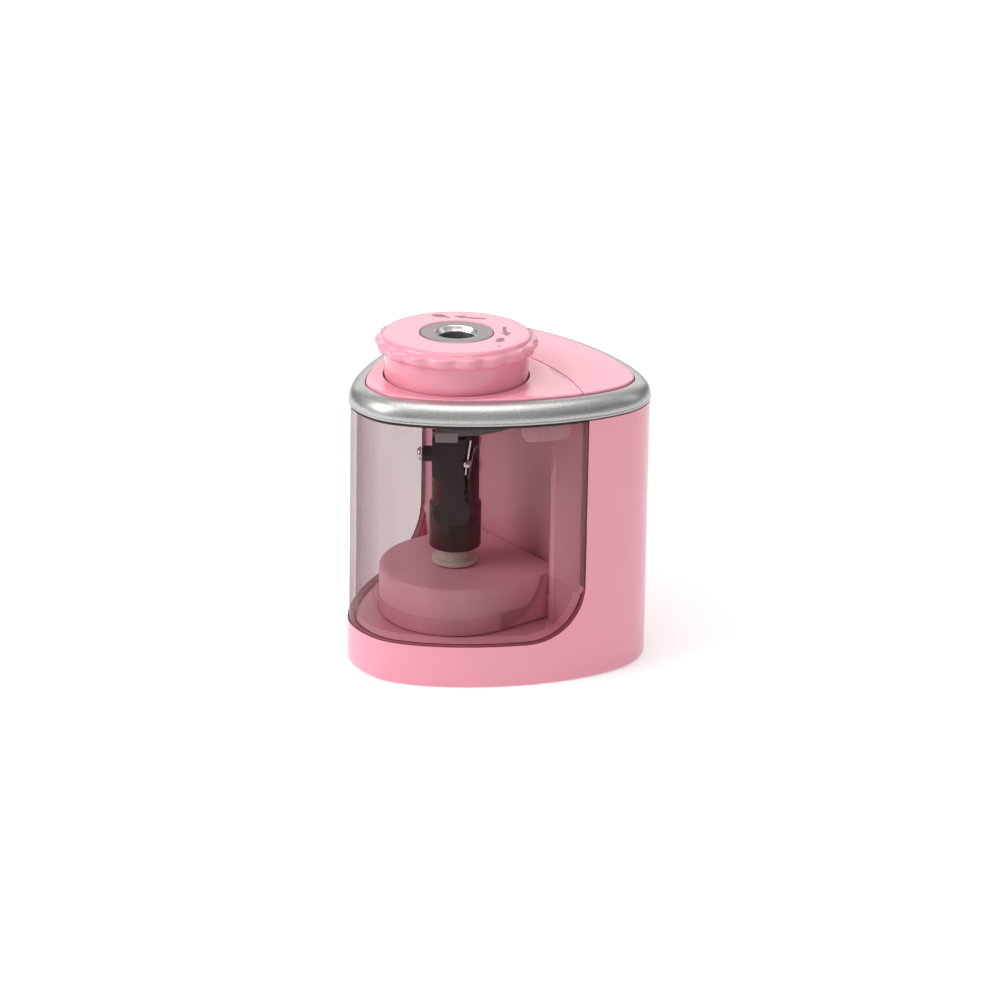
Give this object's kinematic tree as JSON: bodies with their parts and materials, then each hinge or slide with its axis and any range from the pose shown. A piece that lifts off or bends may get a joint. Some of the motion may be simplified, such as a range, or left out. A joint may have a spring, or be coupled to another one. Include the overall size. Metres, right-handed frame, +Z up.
{
  "type": "battery pencil sharpener",
  "caption": "Battery pencil sharpener with a twist knob on top, a rotating cutter inside, and a smoky clear shavings bin that slides out at the front.",
  "frame": {"origin": "centre of the footprint's bounding box, on the surface that the case stands on", "axes": "+Z up along the cutter spindle; -Y towards the clear bin at the front; +Y towards the motor and battery tower; X is the width, and the plan is mirror-symmetric about X = 0"},
  "size_m": [0.068, 0.0694, 0.078],
  "materials": {
    "pink_plastic": "glossy moulded pink",
    "smoky_clear": "clear smoky tint, polished",
    "silver_paint": "satin metallic silver paint over plastic",
    "dark_smoke": "dark translucent",
    "black_plastic": "dark charcoal, semi-matte",
    "steel": "plated steel",
    "cream_plastic": "off-white nylon",
    "white_plastic": "white acetal",
    "grey_plastic": "mid grey",
    "frosted_plastic": "frosted light pink",
    "brass": "turned brass",
    "copper": "phosphor bronze strip",
    "ferrite": "dull ferrite",
    "cell_jacket": "plain printed sleeve",
    "wire_red": "PVC insulation",
    "wire_black": "PVC insulation"
  },
  "bodies": {
    "case": {"housing": "pink_plastic", "bottom_plate": "pink_plastic", "front_deck": "pink_plastic", "rear_deck": "pink_plastic", "lid_frame": "pink_plastic", "gear_cover": "pink_plastic", "trim_rim": "silver_paint", "bin_guide_left": "frosted_plastic", "bin_guide_right": "frosted_plastic", "spindle_bush": "brass", "idler_axle": "steel", "gear_plate": "white_plastic", "motor_can": "steel", "motor_end_cap": "white_plastic", "motor_magnet_left": "ferrite", "motor_magnet_right": "ferrite", "battery_cradle": "white_plastic", "battery_left": "cell_jacket", "battery_right": "cell_jacket", "contact_positive": "steel", "contact_negative": "steel", "battery_spring_bottom": "steel", "battery_spring_top": "steel", "interlock_switch": "black_plastic", "start_switch_contact": "copper", "wire_red": "wire_red", "wire_black": "wire_black", "case_screw_1": "steel", "case_screw_2": "steel", "case_screw_3": "steel", "lid_screw_left": "steel", "lid_screw_right": "steel"},
    "bin": {"shavings_bin": "smoky_clear"},
    "knob": {"adjuster_knob": "pink_plastic", "knob_retainer": "grey_plastic", "pencil_guide": "steel"},
    "sleeve": {"adjuster_sleeve": "grey_plastic"},
    "spindle": {"spindle_hub": "cream_plastic", "spindle_gear": "white_plastic", "cutter_spring": "steel"},
    "cutter": {"cutter_holder": "dark_smoke", "cutter_block": "black_plastic", "cutter_blade": "steel", "blade_screw": "steel", "block_screw": "steel", "start_pushrod": "steel"},
    "idler": {"idler_gear": "white_plastic"},
    "motor_rotor": {"motor_armature": "steel", "motor_pinion": "brass"},
    "start_leaf": {"start_switch_leaf": "copper"},
    "interlock": {"interlock_plunger": "white_plastic"},
    "door": {"battery_door": "pink_plastic", "door_bridge_contact": "steel"}
  },
  "joints": [
    {"name": "bin_slide", "type": "slide", "parent": "case", "child": "bin", "axis": [0, -1, 0], "range_m": [0, 0.06]},
    {"name": "knob_turn", "type": "hinge", "parent": "case", "child": "knob", "pos_m": [0, -0.00774, 0.07], "axis": [0, 0, 1], "range_deg": [-60, 60]},
    {"name": "sleeve_lift", "type": "slide", "parent": "case", "child": "sleeve", "axis": [0, 0, 1], "range_m": [-0.0012, 0.0012]},
    {"name": "spindle_spin", "type": "hinge", "parent": "case", "child": "spindle", "pos_m": [0, -0.00774, 0.02], "axis": [0, 0, 1], "continuous": true},
    {"name": "cutter_press", "type": "slide", "parent": "spindle", "child": "cutter", "axis": [0, 0, -1], "range_m": [0, 0.0012], "stiffness_N_per_m": 400, "springref_m": -0.003, "deforming": ["cutter_spring"]},
    {"name": "idler_spin", "type": "hinge", "parent": "case", "child": "idler", "pos_m": [0, 0.00846, 0.006], "axis": [0, 0, 1], "continuous": true},
    {"name": "motor_spin", "type": "hinge", "parent": "case", "child": "motor_rotor", "pos_m": [0, 0.02226, 0.02], "axis": [0, 0, 1], "continuous": true},
    {"name": "start_leaf_flex", "type": "hinge", "parent": "case", "child": "start_leaf", "pos_m": [-0.009, -0.00774, 0.0056], "axis": [0, 1, 0], "range_deg": [0, 11]},
    {"name": "interlock_push", "type": "slide", "parent": "case", "child": "interlock", "axis": [0, -1, 0], "range_m": [0, 0.0018]},
    {"name": "door_release", "type": "slide", "parent": "case", "child": "door", "axis": [0, 0, -1], "range_m": [0, 0.02]}
  ],
  "couplings": [
    {"joint": "sleeve_lift", "follows": "knob_turn", "m_per_rad": 0.0010504},
    {"joint": "idler_spin", "follows": "spindle_spin", "ratio": -3.5},
    {"joint": "motor_spin", "follows": "spindle_spin", "ratio": 12.6},
    {"joint": "start_leaf_flex", "follows": "cutter_press", "rad_per_m": 111.11},
    {"joint": "interlock_push", "follows": "bin_slide", "ratio": 0.025}
  ]
}
